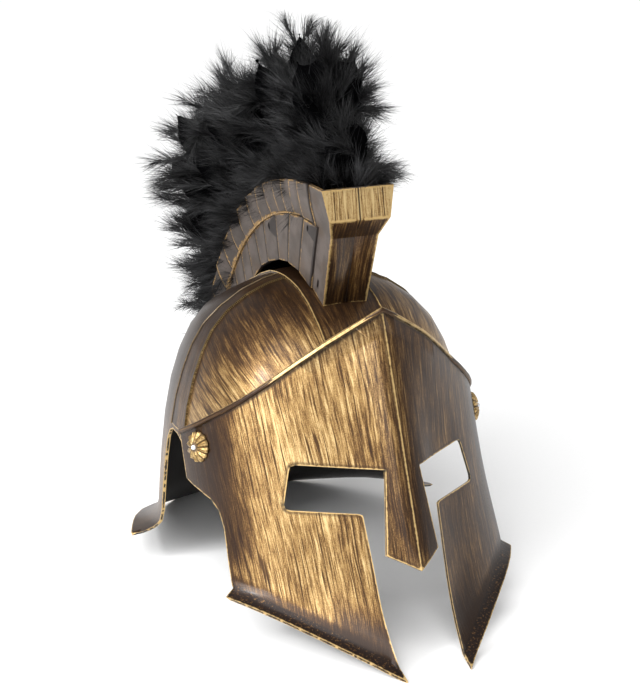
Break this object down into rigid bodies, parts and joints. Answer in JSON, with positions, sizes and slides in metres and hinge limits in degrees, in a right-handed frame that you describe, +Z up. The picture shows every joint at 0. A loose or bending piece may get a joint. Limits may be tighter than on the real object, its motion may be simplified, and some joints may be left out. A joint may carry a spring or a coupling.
{
  "type": "costume helmet with plume",
  "caption": "Greek style costume helmet with a T-shaped face opening, flared neck guard, arched hollow crest, ear rosettes and a black feather plume.",
  "frame": {"origin": "middle of the underside of the box round the helmet, on the surface it stands on", "axes": "+Z up, the face looks towards -Y, the wearer's left is +X"},
  "size_m": [0.2368, 0.3838, 0.379],
  "materials": {
    "bronze": "dark brown shell dry-brushed with gold in fine streaks, satin",
    "crest_grey": "grey-brown paint with worn gold edges, satin",
    "gilt": "aged gilt, satin",
    "feather": "soft black feather"
  },
  "bodies": {
    "root": {"skull": "bronze", "visor": "bronze", "crest_left": "crest_grey", "crest_right": "crest_grey", "rosette_left": "gilt", "rosette_right": "gilt", "plume": "feather"}
  },
  "joints": []
}
